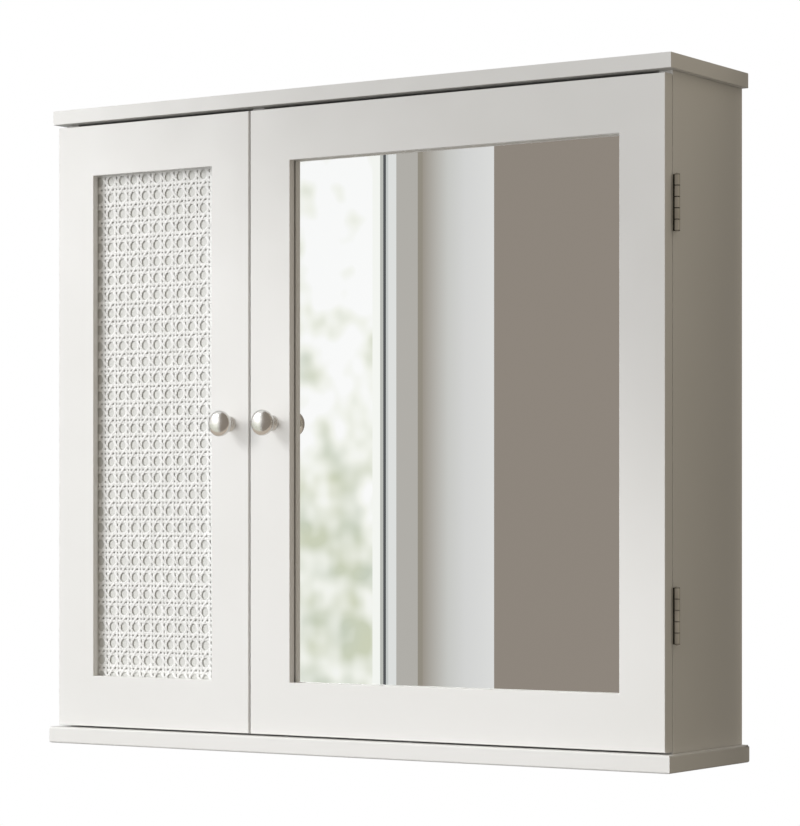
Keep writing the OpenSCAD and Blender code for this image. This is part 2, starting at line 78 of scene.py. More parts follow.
class Tree:
    """A node tree, with short calls for the nodes used here."""

    def __init__(self, tree, coordinates="Object"):
        self.tree = tree
        self.place = self.add("ShaderNodeTexCoord").outputs[coordinates]

    def add(self, kind, **settings):
        node = self.tree.nodes.new(kind)
        for key, value in settings.items():
            setattr(node, key, value)
        return node

    def link(self, source, target):
        self.tree.links.new(source, target)

    def feed(self, socket, value):
        if hasattr(value, "links"):
            self.link(value, socket)
        else:
            socket.default_value = value

    def along(self, axis):
        node = self.add("ShaderNodeSeparateXYZ")
        self.link(self.place, node.inputs[0])
        return node.outputs[axis]

    def noise(self, scale, detail=2.0, roughness=0.5, stretch=None):
        node = self.add("ShaderNodeTexNoise")
        node.inputs["Scale"].default_value = scale
        node.inputs["Detail"].default_value = detail
        node.inputs["Roughness"].default_value = roughness
        place = self.place
        if stretch:
            mapping = self.add("ShaderNodeMapping")
            mapping.inputs["Scale"].default_value = stretch
            self.link(place, mapping.inputs["Vector"])
            place = mapping.outputs["Vector"]
        self.link(place, node.inputs["Vector"])
        return node.outputs["Fac"]

    def ramp(self, value, stops):
        node = self.add("ShaderNodeValToRGB")
        elements = node.color_ramp.elements
        while len(elements) < len(stops):
            elements.new(0.5)
        for element, (position, colour) in zip(elements, stops):
            element.position = position
            element.color = (*colour, 1)
        self.link(value, node.inputs["Fac"])
        return node.outputs["Color"]

    def span(self, value, low, high, to_low=0.0, to_high=1.0, shape="LINEAR"):
        node = self.add("ShaderNodeMapRange", interpolation_type=shape)
        for name, number in (("From Min", low), ("From Max", high), ("To Min", to_low), ("To Max", to_high)):
            node.inputs[name].default_value = number
        self.link(value, node.inputs["Value"])
        return node.outputs["Result"]

    def mix(self, factor, first, second, blend="MIX"):
        node = self.add("ShaderNodeMix", data_type="RGBA", blend_type=blend)
        self.feed(node.inputs["Factor"], factor)
        self.feed(node.inputs[6], first)
        self.feed(node.inputs[7], second)
        return node.outputs[2]

    def math(self, operation, *values):
        node = self.add("ShaderNodeMath", operation=operation)
        for socket, value in zip(node.inputs, values):
            self.feed(socket, value)
        return node.outputs[0]

    def glow_input(self, name):
        """The named socket of the tree's emission node."""
        return next(n for n in self.tree.nodes if n.type == "EMISSION").inputs[name]


class Nodes(Tree):
    """The node tree of a new material."""

    def __init__(self, name):
        self.material = bpy.data.materials.new(name)
        self.material.use_nodes = True
        super().__init__(self.material.node_tree)
        self.shader = self.tree.nodes["Principled BSDF"]

    def set(self, **values):
        for key, value in values.items():
            self.shader.inputs[key.replace("_", " ")].default_value = value

    def bump(self, height, distance, strength=1.0, before=None):
        node = self.add("ShaderNodeBump")
        node.inputs["Strength"].default_value = strength
        node.inputs["Distance"].default_value = distance
        self.link(height, node.inputs["Height"])
        if before is not None:
            self.link(before, node.inputs["Normal"])
        return node.outputs["Normal"]

    def finish(self, colour, roughness, normal=None):
        self.link(colour, self.shader.inputs["Base Color"])
        self.link(roughness, self.shader.inputs["Roughness"])
        if normal is not None:
            self.link(normal, self.shader.inputs["Normal"])
        return self.material


# ---------------------------------------------------------------- materials

KNUCKLES = 5
# The painted shade along the root of a barrel, wider than the real crease: how far its middle lies in from
# the barrel's outer side, and half its width
ROOT_IN = 4.3 * MM
ROOT_REACH = 1.0 * MM
# Share of a knuckle that carries painted shade at each of its ends, wider than the real gap
END_SHARE = 0.045
# Near-black colour of the painted shade in the hinges' gaps
GAP_SHADE_COLOUR = (0.03, 0.027, 0.022, 1)


def satin_paint(name, light, dark):
    """Sprayed satin paint: a faint cloudiness, a fine orange peel and a soft gloss."""
    n = Nodes(name)
    n.set(Specular_IOR_Level=0.4)
    clouds = n.noise(6, 3)
    peel = n.noise(700, 2)
    ripple = n.noise(120, 2)
    colour = n.ramp(clouds, [(0.35, dark), (0.65, light)])
    roughness = n.span(n.noise(25, 3), 0.3, 0.7, 0.42, 0.52)
    normal = n.bump(ripple, 0.03 * MM, 0.5, n.bump(peel, 0.01 * MM, 0.5))
    return n.finish(colour, roughness, normal)


def painted_cane():
    """Split cane under brushed white paint: long fibres show through."""
    n = Nodes("painted_cane")
    n.set(Specular_IOR_Level=0.35)
    blotches = n.noise(90, 3)
    fibres = n.noise(900, 3)
    colour = n.ramp(blotches, [(0.3, (0.82, 0.82, 0.8)), (0.6, (0.93, 0.93, 0.915))])
    roughness = n.span(blotches, 0.3, 0.7, 0.5, 0.62)
    return n.finish(colour, roughness, n.bump(fibres, 0.06 * MM, 0.6))


def silvered_mirror():
    n = Nodes("silvered_mirror")
    n.set(Metallic=1.0)
    colour = n.ramp(n.noise(3, 2), [(0.3, (0.93, 0.94, 0.935)), (0.7, (0.95, 0.955, 0.95))])
    roughness = n.span(n.noise(8, 2), 0.3, 0.7, 0.0, 0.004)
    return n.finish(colour, roughness)


def satin_nickel(name, light, dark, low_rough, high_rough, axis_stretch):
    """Brushed nickel: fine turned or drawn lines across the given stretch."""
    n = Nodes(name)
    n.set(Metallic=1.0)
    lines = n.noise(400, 3, 0.6, axis_stretch)
    colour = n.ramp(n.noise(60, 3), [(0.3, dark), (0.7, light)])
    roughness = n.span(lines, 0.3, 0.7, low_rough, high_rough)
    return n.finish(colour, roughness, n.bump(lines, 0.01 * MM, 0.4))


def hinge_metal_with_painted_shade(name, low, high):
    """Drawn nickel, with near-black painted shade along the root of the barrel and over the gaps of its
    knuckles.
    """
    n = Nodes(name)
    n.set(Metallic=1.0)
    root_x = high.x - ROOT_IN
    out = n.math("ABSOLUTE", n.along("X"))
    # Masks of the painted shade: along the root of the barrel, and at the ends of the knuckles
    root = n.math("COMPARE", out, root_x, ROOT_REACH)
    height = n.math("SUBTRACT", n.along("Z"), low.z)
    knuckle = n.math("DIVIDE", height, (high.z - low.z) / KNUCKLES)
    at_end = n.math("LESS_THAN", n.math("PINGPONG", knuckle, 0.5), END_SHARE)
    end = n.math("MULTIPLY", at_end, n.math("GREATER_THAN", out, root_x - ROOT_REACH))
    lines = n.noise(400, 3, 0.6, (1, 1, 6))
    metal = n.ramp(n.noise(60, 3), [(0.3, (0.52, 0.51, 0.47)), (0.7, (0.62, 0.61, 0.57))])
    colour = n.mix(n.math("MAXIMUM", root, end), metal, GAP_SHADE_COLOUR)
    return n.finish(colour, n.span(lines, 0.3, 0.7, 0.3, 0.42), n.bump(lines, 0.01 * MM, 0.4))


def zinc():
    n = Nodes("zinc_plate")
    n.set(Metallic=1.0)
    spangle = n.noise(500, 3)
    colour = n.ramp(spangle, [(0.3, (0.5, 0.5, 0.49)), (0.7, (0.66, 0.66, 0.64))])
    return n.finish(colour, n.span(spangle, 0.3, 0.7, 0.28, 0.42))


def faced_board(name, face, raw, raw_beyond):
    """Thin board: a pale face, and raw brown fibre where y passes raw_beyond."""
    n = Nodes(name)
    n.set(Specular_IOR_Level=0.3)
    fibres = n.noise(260, 5, 0.7)
    beyond = n.math("GREATER_THAN", n.along("Y"), raw_beyond)
    pale = n.ramp(n.noise(10, 3), [(0.3, [c * 0.96 for c in face]), (0.7, face)])
    brown = n.ramp(fibres, [(0.3, [c * 0.7 for c in raw]), (0.7, [c * 1.2 for c in raw])])
    colour = n.mix(beyond, pale, brown)
    return n.finish(colour, n.span(fibres, 0.3, 0.7, 0.6, 0.75), n.bump(fibres, 0.04 * MM, 0.4))


def beech():
    n = Nodes("beech")
    grain = n.noise(120, 4, 0.6, (1, 1, 0.15))
    colour = n.ramp(grain, [(0.3, (0.5, 0.33, 0.18)), (0.7, (0.68, 0.5, 0.32))])
    return n.finish(colour, n.span(grain, 0.3, 0.7, 0.5, 0.65), n.bump(grain, 0.05 * MM, 0.4))


def moulded_plastic():
    n = Nodes("moulded_plastic")
    texture = n.noise(600, 2)
    colour = n.ramp(n.noise(40, 2), [(0.3, (0.74, 0.74, 0.72)), (0.7, (0.8, 0.8, 0.78))])
    return n.finish(colour, n.span(texture, 0.3, 0.7, 0.38, 0.5), n.bump(texture, 0.02 * MM, 0.4))


def ferrite():
    n = Nodes("ferrite")
    grain = n.noise(800, 3)
    colour = n.ramp(grain, [(0.3, (0.02, 0.02, 0.02)), (0.7, (0.05, 0.05, 0.05))])
    return n.finish(colour, n.span(grain, 0.3, 0.7, 0.6, 0.8), n.bump(grain, 0.03 * MM, 0.5))


PAINT = satin_paint("satin_white_paint", (0.86, 0.855, 0.84), (0.835, 0.83, 0.81))
CANE = painted_cane()
MIRROR = silvered_mirror()
KNOB_METAL = satin_nickel("satin_nickel_knob", (0.74, 0.725, 0.7), (0.68, 0.665, 0.64), 0.14, 0.22, (1, 8, 1))
HINGE_METAL = satin_nickel("nickel_hinge", (0.66, 0.65, 0.61), (0.56, 0.55, 0.51), 0.3, 0.42, (1, 1, 6))
WHITE_BOARD = faced_board("white_faced_board", (0.8, 0.8, 0.78), (0.4, 0.27, 0.165), -0.2 * MM)
CANE_BACKING = faced_board("grey_white_board", (0.79, 0.795, 0.765), (0.4, 0.27, 0.165), -119.0 * MM)
HARDBOARD = faced_board("hardboard", (0.3, 0.2, 0.12), (0.32, 0.215, 0.13), -1.0)

SLOT_MATERIALS = {
    "white_paint": PAINT,
    "white_faced_board": WHITE_BOARD,
    "hardboard": HARDBOARD,
    "beech": beech(),
    "painted_cane": CANE,
    "mirror": MIRROR,
    "nickel_knob": KNOB_METAL,
    "nickel_steel": HINGE_METAL,
    "zinc_steel": zinc(),
    "catch_plastic": moulded_plastic(),
    "ferrite": ferrite(),
}


def leaf_metals():
    """The metal of each hinge leaf, with its painted shade, by the name of its node."""
    metals = {}
    for height in ("upper", "lower"):
        low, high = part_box("right_%s_hinge_frame_leaf" % height)
        metal = hinge_metal_with_painted_shade(height + "_hinge_metal_with_painted_shade", low, high)
        for side in ("left", "right"):
            for body in ("frame", "door"):
                metals["%s_%s_hinge_%s_leaf" % (side, height, body)] = metal
    return metals


# Nodes whose material isn't the one of their slot
NODE_MATERIALS = {"cane_backing_board": CANE_BACKING, **leaf_metals()}


def dress_cad_nodes():
    """Gives every CAD node its own material, or else the one of its slot."""
    for part in frame["record"]["subparts"]:
        mesh = frame["nodes"][part["node"]].data
        mesh.materials.clear()
        mesh.materials.append(NODE_MATERIALS.get(part["node"], SLOT_MATERIALS[part["material_slot"]]))


# ---------------------------------------------------------------- eased edges

DOOR_EDGE = 0.5 * MM
BOTTOM_EDGE = 1.5 * MM
INNER_EDGE = 0.4 * MM
METAL_EDGE = 0.12 * MM
LONG_BOARD_EDGE = 20 * MM
LONG_METAL_EDGE = 3 * MM
SHARP_ANGLE = math.radians(50)
WELD_REACH = 0.005 * MM
BEVEL_STEPS = 3
EASED = {
    "top_board": INNER_EDGE,
    "bottom_board": BOTTOM_EDGE,
    "left_side_panel": INNER_EDGE,
    "right_side_panel": INNER_EDGE,
    "centre_divider": INNER_EDGE,
    "left_door_frame": DOOR_EDGE,
    "right_door_frame": DOOR_EDGE,
    "hanging_rail": INNER_EDGE,
}


def mark_long_edges(name, shortest):
    """Modifier nodes that mark the sharp outward edges longer than shortest, so that holes stay crisp."""
    group = bpy.data.node_groups.new(name, "GeometryNodeTree")
    for way in ("INPUT", "OUTPUT"):
        group.interface.new_socket("Geometry", in_out=way, socket_type="NodeSocketGeometry")
    source = group.nodes.new("NodeGroupInput")
    result = group.nodes.new("NodeGroupOutput")
    ends = group.nodes.new("GeometryNodeInputMeshEdgeVertices")
    length = group.nodes.new("ShaderNodeVectorMath")
    length.operation = "DISTANCE"
    angle = group.nodes.new("GeometryNodeInputMeshEdgeAngle")
    is_long = group.nodes.new("FunctionNodeCompare")
    is_sharp = group.nodes.new("FunctionNodeCompare")
    for test, limit in ((is_long, shortest), (is_sharp, SHARP_ANGLE)):
        test.operation = "GREATER_THAN"
        test.inputs["B"].default_value = limit
    both = group.nodes.new("FunctionNodeBooleanMath")
    store = group.nodes.new("GeometryNodeStoreNamedAttribute")
    store.data_type = "FLOAT"
    store.domain = "EDGE"
    store.inputs["Name"].default_value = "bevel_weight_edge"
    group.links.new(ends.outputs["Position 1"], length.inputs[0])
    group.links.new(ends.outputs["Position 2"], length.inputs[1])
    group.links.new(length.outputs["Value"], is_long.inputs["A"])
    group.links.new(angle.outputs["Signed Angle"], is_sharp.inputs["A"])
    group.links.new(is_long.outputs["Result"], both.inputs[0])
    group.links.new(is_sharp.outputs["Result"], both.inputs[1])
    group.links.new(both.outputs["Boolean"], store.inputs["Value"])
    group.links.new(source.outputs["Geometry"], store.inputs["Geometry"])
    group.links.new(store.outputs["Geometry"], result.inputs["Geometry"])
    return group


def ease_edges(name, width, marks):
    """Rounds the long sharp edges of a CAD node, which stays as it is underneath."""
    node = frame["nodes"][name]
    weld = node.modifiers.new("weld", "WELD")
    weld.merge_threshold = WELD_REACH
    pick = node.modifiers.new("pick", "NODES")
    pick.node_group = marks
    bevel = node.modifiers.new("bevel", "BEVEL")
    bevel.width = width
    bevel.segments = BEVEL_STEPS
    bevel.limit_method = "WEIGHT"
    bevel.harden_normals = True


def ease_all():
    board_marks = mark_long_edges("long_board_edges", LONG_BOARD_EDGE)
    metal_marks = mark_long_edges("long_metal_edges", LONG_METAL_EDGE)
    for name, width in EASED.items():
        ease_edges(name, width, board_marks)
    for name in frame["nodes"]:
        if name.endswith("_shelf"):
            ease_edges(name, INNER_EDGE, board_marks)
        if name.endswith("_leaf"):
            ease_edges(name, METAL_EDGE, metal_marks)


# ---------------------------------------------------------------- mesh helpers


def mesh_object(name, vertices, faces, material, smooth=False):
    mesh = bpy.data.meshes.new(name)
    mesh.from_pydata([tuple(v) for v in vertices], [], faces)
    mesh.materials.append(material)
    mesh.update()
    if smooth:
        mesh.shade_smooth()
    obj = bpy.data.objects.new(name, mesh)
    bpy.context.scene.collection.objects.link(obj)
    return obj


def lathe(name, profile, centre, material, turns=96):
    """A body turned about Y: profile holds (radius, distance in front of centre) in metres."""
    vertices = []
    faces = []
    for radius, out in profile:
        for k in range(turns):
            a = 2 * math.pi * k / turns
            across = radius * math.cos(a)
            up = radius * math.sin(a)
            vertices.append((centre[0] + across, centre[1] - out, centre[2] + up))
    for ring in range(len(profile) - 1):
        for k in range(turns):
            low = ring * turns
            after = (k + 1) % turns
            faces.append((low + k, low + after, low + turns + after, low + turns + k))
    faces.append(tuple(reversed(range(turns))))
    faces.append(tuple(range((len(profile) - 1) * turns, len(profile) * turns)))
    obj = mesh_object(name, vertices, faces, material, smooth=True)
    fix_normals(obj)
    obj.data.set_sharp_from_angle(angle=math.radians(40))
    return obj


def fix_normals(obj):
    bm = bmesh.new()
    bm.from_mesh(obj.data)
    bmesh.ops.recalc_face_normals(bm, faces=bm.faces)
    bm.to_mesh(obj.data)
    bm.free()


# ---------------------------------------------------------------- cane webbing

CANE_PITCH_X = 12.44 * MM
CANE_PITCH_Z = 14.24 * MM
# First hole, from the low corner of the sheet
CANE_FIRST_HOLE = (8.85 * MM, 7.4 * MM)
# The sheet leans a little to the right below this height
LEAN_START = -10 * MM
LEAN = 0.012
UPRIGHT_WIDTH = 2.25 * MM
UPRIGHT_APART = 1.7 * MM
LEVEL_WIDTH = 2.45 * MM
LEVEL_APART = 1.95 * MM
SLANT_WIDTH = 2.2 * MM
STRAND_THICK = 0.3 * MM
WEAVE_RISE = 0.15 * MM
SLANT_RISE = 0.3 * MM
BACKING_GAP = 0.35 * MM
STEPS_PER_PITCH = 8


def strand(centres, across, width):
    """Rings of a flat, slightly domed ribbon along centres, which holds (x, height, z) rows."""
    ring = [(-0.5, 0.0), (-0.3, 0.42), (0.0, 0.5), (0.3, 0.42), (0.5, 0.0), (0.0, -0.5)]
    rings = []
    for side, rise in ring:
        offset = np.array([across[0] * side * width, rise * STRAND_THICK, across[1] * side * width])
        rings.append(centres + offset)
    return np.stack(rings, axis=1)


def weave_wave(distance, apart):
    """Height of a strand by its distance from the middle of the pair that it crosses."""
    inside = np.abs(distance) < 2 * apart
    return np.where(inside, np.sin(np.pi * distance / (2 * apart)), 0.0)


def slant_wave(x, upright_x):
    """Height of a slanting strand: one side of the uprights, and the other side of the levels."""
    wave = np.cos(2 * np.pi * (x - upright_x) / CANE_PITCH_X)
    return np.tanh(2.2 * wave) / np.tanh(2.2)


def nearest(values, first, pitch):
    """Signed distance of each value to the nearest member of a row of lines."""
    return (values - first + pitch / 2) % pitch - pitch / 2


def line_places(low, high, first, pitch):
    start = math.ceil((low - first) / pitch)
    stop = math.floor((high - first) / pitch)
    return [first + pitch * k for k in range(start, stop + 1)]


def weave():
    """All the strands of the sheet, as arrays of rings of (x, height, z)."""
    low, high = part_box("cane_webbing")
    upright = low.x + CANE_FIRST_HOLE[0] + CANE_PITCH_X / 2
    level = low.z + CANE_FIRST_HOLE[1] + CANE_PITCH_Z / 2
    step_x = CANE_PITCH_X / STEPS_PER_PITCH
    step_z = CANE_PITCH_Z / STEPS_PER_PITCH
    strands = []
    for x in line_places(low.x, high.x, upright, CANE_PITCH_X):
        for side in (-1, 1):
            place = x + side * UPRIGHT_APART
            if not low.x + UPRIGHT_WIDTH / 2 < place < high.x - UPRIGHT_WIDTH / 2:
                continue
            z = np.arange(low.z, high.z + step_z / 2, step_z).clip(low.z, high.z)
            rise = side * WEAVE_RISE * weave_wave(nearest(z, level, CANE_PITCH_Z), LEVEL_APART)
            strands.append(strand(np.stack([np.full_like(z, place), rise, z], 1), (1, 0), UPRIGHT_WIDTH))
    for z in line_places(low.z, high.z, level, CANE_PITCH_Z):
        for side in (-1, 1):
            place = z + side * LEVEL_APART
            if not low.z + LEVEL_WIDTH / 2 < place < high.z - LEVEL_WIDTH / 2:
                continue
            x = np.arange(low.x, high.x + step_x / 2, step_x).clip(low.x, high.x)
            rise = -side * WEAVE_RISE * weave_wave(nearest(x, upright, CANE_PITCH_X), UPRIGHT_APART)
            strands.append(strand(np.stack([x, rise, np.full_like(x, place)], 1), (0, 1), LEVEL_WIDTH))
    for slope in (-1, 1):
        strands += slants(low, high, upright, level, slope, step_x)
    return strands, low, high


def slants(low, high, upright, level, slope, step_x):
    """Strands that run up to the right (slope 1) or down to the right (slope -1)."""
    rate = slope * CANE_PITCH_Z / CANE_PITCH_X
    length = math.hypot(1, rate)
    across = (-rate / length, 1 / length)
    half = SLANT_WIDTH / 2
    reach = (high.x - low.x) * abs(rate)
    found = []
    start = math.floor((low.z - reach - level) / CANE_PITCH_Z)
    stop = math.ceil((high.z + reach - level) / CANE_PITCH_Z)
    for k in range(start, stop + 1):
        x = np.arange(low.x + half, high.x - half, step_x)
        z = level + k * CANE_PITCH_Z + rate * (x - upright - CANE_PITCH_X / 2)
        keep = (z > low.z + half) & (z < high.z - half)
        if keep.sum() < 3:
            continue
        x = x[keep]
        z = z[keep]
        rise = -slope * SLANT_RISE * slant_wave(x, upright)
        found.append(strand(np.stack([x, rise, z], 1), across, SLANT_WIDTH))
    return found


def add_cane():
    strands, low, high = weave()
    middle_y = high.y - SLANT_RISE - STRAND_THICK / 2 - BACKING_GAP
    vertices = []
    faces = []
    for rings in strands:
        count, around = rings.shape[:2]
        base = len(vertices)
        points = rings.reshape(-1, 3)
        leaning = points[:, 0] + LEAN * np.maximum(0, LEAN_START - points[:, 2])
        points[:, 0] = leaning.clip(low.x, high.x)
        vertices += [(p[0], middle_y - p[1], p[2]) for p in points]
        for i in range(count - 1):
            for j in range(around):
                a = base + i * around + j
                b = base + i * around + (j + 1) % around
                faces.append((a, b, b + around, a + around))
        faces.append(tuple(base + j for j in reversed(range(around))))
        faces.append(tuple(base + (count - 1) * around + j for j in range(around)))
    cane = mesh_object("woven_cane", vertices, faces, CANE, smooth=True)
    fix_normals(cane)
    cane.data.set_sharp_from_angle(angle=math.radians(50))
    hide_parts("cane_webbing")
    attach(cane, "left_door")


# ---------------------------------------------------------------- mirror

SILVER_DEPTH = 1.2 * MM
ARRIS = 0.8 * MM


def add_mirror():
    """The silver lies behind the face of the glass, so the lip stands clear of its reflection."""
    low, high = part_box("mirror_glass")
    silver = low.y + SILVER_DEPTH
    outline = [(low.x, low.z), (high.x, low.z), (high.x, high.z), (low.x, high.z)]
    inner = [(low.x + ARRIS, low.z + ARRIS), (high.x - ARRIS, low.z + ARRIS),
             (high.x - ARRIS, high.z - ARRIS), (low.x + ARRIS, high.z - ARRIS)]
    vertices = [(x, silver, z) for x, z in inner]
    vertices += [(x, silver + ARRIS, z) for x, z in outline]
    vertices += [(x, high.y, z) for x, z in outline]
    faces = [(0, 1, 2, 3), (11, 10, 9, 8)]
    for ring in (0, 4):
        for k in range(4):
            after = (k + 1) % 4
            faces.append((ring + k, ring + after, ring + 4 + after, ring + 4 + k))
    pane = mesh_object("mirror_pane", vertices, faces, MIRROR)
    fix_normals(pane)
    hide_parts("mirror_glass")
    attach(pane, "right_door")


# ---------------------------------------------------------------- knobs


def curve_points(first, last, bulge, count):
    """Points of an elliptical arc between two (radius, out) points, rounded outwards or inwards."""
    wider = last[0] - first[0]
    further = last[1] - first[1]
    points = []
    for k in range(count + 1):
        a = math.pi / 2 * k / count
        if bulge > 0:
            points.append((first[0] + wider * math.sin(a), last[1] - further * math.cos(a)))
        else:
            points.append((last[0] - wider * math.cos(a), first[1] + further * math.sin(a)))
    return points


def knob_profile(length, radius):
    """Foot, groove, ring, neck, second ring and domed head of a knob, in metres."""
    head = length - 9.6 * MM
    rim = length - 5 * MM
    dome = length - 4 * MM
    points = [(0.3 * MM, 0.0), (6.3 * MM, 0.0), (6.5 * MM, 0.25 * MM)]
    points += [(6.5 * MM, 1.8 * MM), (6.2 * MM, 2.25 * MM)]
    points += curve_points((6.0 * MM, 2.4 * MM), (5.2 * MM, 3.3 * MM), -1, 4)
    points += curve_points((5.2 * MM, 3.5 * MM), (6.0 * MM, 4.1 * MM), 1, 3)
    points += [(6.2 * MM, 4.5 * MM), (6.2 * MM, 5.1 * MM), (5.9 * MM, 5.5 * MM)]
    points += curve_points((5.7 * MM, 5.6 * MM), (4.8 * MM, 6.4 * MM), -1, 4)
    points += [(4.8 * MM, head - 2.5 * MM), (5.1 * MM, head - 2.2 * MM), (6.4 * MM, head - 1.85 * MM)]
    points += [(6.75 * MM, head - 1.5 * MM), (6.75 * MM, head - 0.75 * MM), (6.4 * MM, head - 0.4 * MM)]
    points += [(5.5 * MM, head - 0.2 * MM)]
    points += curve_points((5.4 * MM, head), (radius, rim), 1, 10)
    points += [(radius, dome)]
    steps = 18
    for k in range(1, steps):
        a = math.pi / 2 * k / steps
        points.append((radius * math.cos(a), dome + (length - dome) * math.sin(a)))
    points.append((0.2 * MM, length))
    return points


def add_knob(side):
    low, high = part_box(side + "_knob")
    centre = ((low.x + high.x) / 2, high.y, (low.z + high.z) / 2)
    profile = knob_profile(high.y - low.y, (high.x - low.x) / 2)
    knob = lathe(side + "_turned_knob", profile, centre, KNOB_METAL)
    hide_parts(side + "_knob")
    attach(knob, side + "_door")


# ---------------------------------------------------------------- stage helpers


def emitter(name, colour):
    material = bpy.data.materials.new(name)
    material.use_nodes = True
    tree = material.node_tree
    tree.nodes.clear()
    out = tree.nodes.new("ShaderNodeOutputMaterial")
    glow = tree.nodes.new("ShaderNodeEmission")
    glow.inputs["Color"].default_value = (*colour, 1)
    tree.links.new(glow.outputs[0], out.inputs["Surface"])
    return material


def level_corners(left, right, front, back, z):
    """Corners of a level rectangle."""
    return [(left, front, z), (right, front, z), (right, back, z), (left, back, z)]


def flat(name, corners, material):
    """A flat that only mirrors and metal can see, to carry a painted reflection."""
    obj = mesh_object(name, corners, [(0, 1, 2, 3)], material)
    obj.visible_camera = False
    obj.visible_diffuse = False
    obj.visible_shadow = False
    return obj


# ---------------------------------------------------------------- room in the mirror

ROOM_Y = -1.6
ROOM_LEFT = -12.0
ROOM_LOW = -1.0
ROOM_HIGH = 5.0
# Glowing strips of the room, a painted reflection, from left to right: name, right edge, colour. The darker
# sash edge, sash gap, frame edge, frame side and frame shade are painted shade
ROOM_STRIPS = [
    ("room_window", -0.9571, (1.0, 1.0, 1.0)),
    ("room_sash", -0.9442, (0.955, 0.965, 0.93)),
    ("room_sash_edge", -0.9389, (0.52, 0.53, 0.5)),
    ("room_sash_gap", -0.9344, (0.09, 0.095, 0.1)),
    ("room_frame_edge", -0.9305, (0.6, 0.62, 0.61)),
    ("room_frame_front", -0.917, (0.765, 0.775, 0.765)),
    ("room_frame_side", -0.8813, (0.462, 0.445, 0.415)),
    ("room_frame_shade", -0.8732, (0.305, 0.28, 0.235)),
    ("room_pale_wall", -0.7568, (0.7, 0.69, 0.69)),
    ("room_taupe_wall", 3.5, (0.285, 0.25, 0.215)),
]
# Colours across the pale wall, darker towards the window frame as painted shade
WALL_STOPS = [
    (0.0, (0.34, 0.31, 0.27)),
    (0.2, (0.49, 0.475, 0.445)),
    (0.36, (0.604, 0.604, 0.584)),
    (0.6, (0.69, 0.69, 0.685)),
    (1.0, (0.75, 0.75, 0.745)),
]
# Left, right, front and back of the warm floor, a painted reflection
ROOM_FLOOR = (-4.5, 3.5, -6.0, 0.3)
# Heights between which the garden turns from sky to leaves, and how much that adds to its noise
GARDEN_TOP = 0.3
GARDEN_BOTTOM = -0.1
GARDEN_SKY = -0.18
GARDEN_LEAFY = 0.14
LEAF_COLOURS = [(0.58, 0.64, 0.58), (0.66, 0.68, 0.48)]


def room_strip(name, left, right, colour):
    corners = [(left, ROOM_Y, ROOM_LOW), (right, ROOM_Y, ROOM_LOW), (right, ROOM_Y, ROOM_HIGH)]
    corners.append((left, ROOM_Y, ROOM_HIGH))
    return flat(name, corners, emitter(name, colour))


def grade(strip, left, right, stops):
    """Colours a strip of the room from its left edge to its right one."""
    t = Tree(strip.data.materials[0].node_tree)
    t.link(t.ramp(t.span(t.along("X"), left, right), stops), t.glow_input("Color"))


def garden(strip):
    """Colours a strip as a bright window with leaves out of focus in its lower part."""
    t = Tree(strip.data.materials[0].node_tree)
    height = t.span(t.along("Z"), GARDEN_TOP, GARDEN_BOTTOM, GARDEN_SKY, GARDEN_LEAFY)
    leafy = t.math("ADD", t.noise(21, 1.0), height)
    hues = []
    for leaf in LEAF_COLOURS:
        stops = [(0.36, (1.0, 1.0, 1.0)), (0.5, (0.92, 0.93, 0.87)), (0.8, leaf)]
        hues.append(t.ramp(leafy, stops))
    t.link(t.mix(t.noise(17, 0.0), *hues), t.glow_input("Color"))


def add_room():
    """Glowing flats that paint what the mirror reflects: a window, its frame, a pale wall and a taupe wall,
    with painted shade on the frame and the pale wall.
    """
    left = ROOM_LEFT
    for name, right, colour in ROOM_STRIPS:
        strip = room_strip(name, left, right, colour)
        if name == "room_window":
            garden(strip)
        if name == "room_pale_wall":
            grade(strip, left, right, WALL_STOPS)
        left = right


def add_room_floor():
    """A glowing warm floor, a painted reflection that only the knobs and the mirror can see."""
    flat("room_floor", level_corners(*ROOM_FLOOR, ROOM_LOW), emitter("room_floor", (0.62, 0.55, 0.47)))


# ---------------------------------------------------------------- ambient light

SHADE_CARD_Y = 4 * MM
# Corners of the dark card as (x, z)
SHADE_CARD = [(0.31, 0.32), (0.31, -0.62), (0.58, -0.62), (0.58, 0.12)]
# Colours of the ambient light from left (0) to right (1), its share from front (0) to back (1)
# and from below (0) to above (1)
ACROSS_STOPS = [
    (0.0, (0.4, 0.405, 0.42)),
    (0.4, (0.42, 0.425, 0.43)),
    (0.55, (0.39, 0.38, 0.37)),
    (0.68, (0.35, 0.32, 0.275)),
    (1.0, (0.345, 0.305, 0.24)),
]
DEPTH_STOPS = [(0.0, (1.0, 1.0, 1.0)), (0.6, (1.0, 1.0, 1.0)), (1.0, (0.6, 0.58, 0.55))]
HEIGHT_STOPS = [
    (0.0, (0.3, 0.3, 0.3)),
    (0.15, (0.5, 0.5, 0.5)),
    (0.35, (1.09, 1.09, 1.09)),
    (0.7, (1.09, 1.09, 1.09)),
    (1.0, (1.75, 1.75, 1.75)),
]


def add_shade_card():
    """A dark card behind the right side, where the wall would be in the cabinet's own shade."""
    corners = [(x, SHADE_CARD_Y, z) for x, z in SHADE_CARD]
    card = mesh_object("shade_card", corners, [(0, 1, 2, 3)], emitter("black_card", (0.0, 0.0, 0.0)))
    card.visible_camera = False
    card.visible_glossy = False


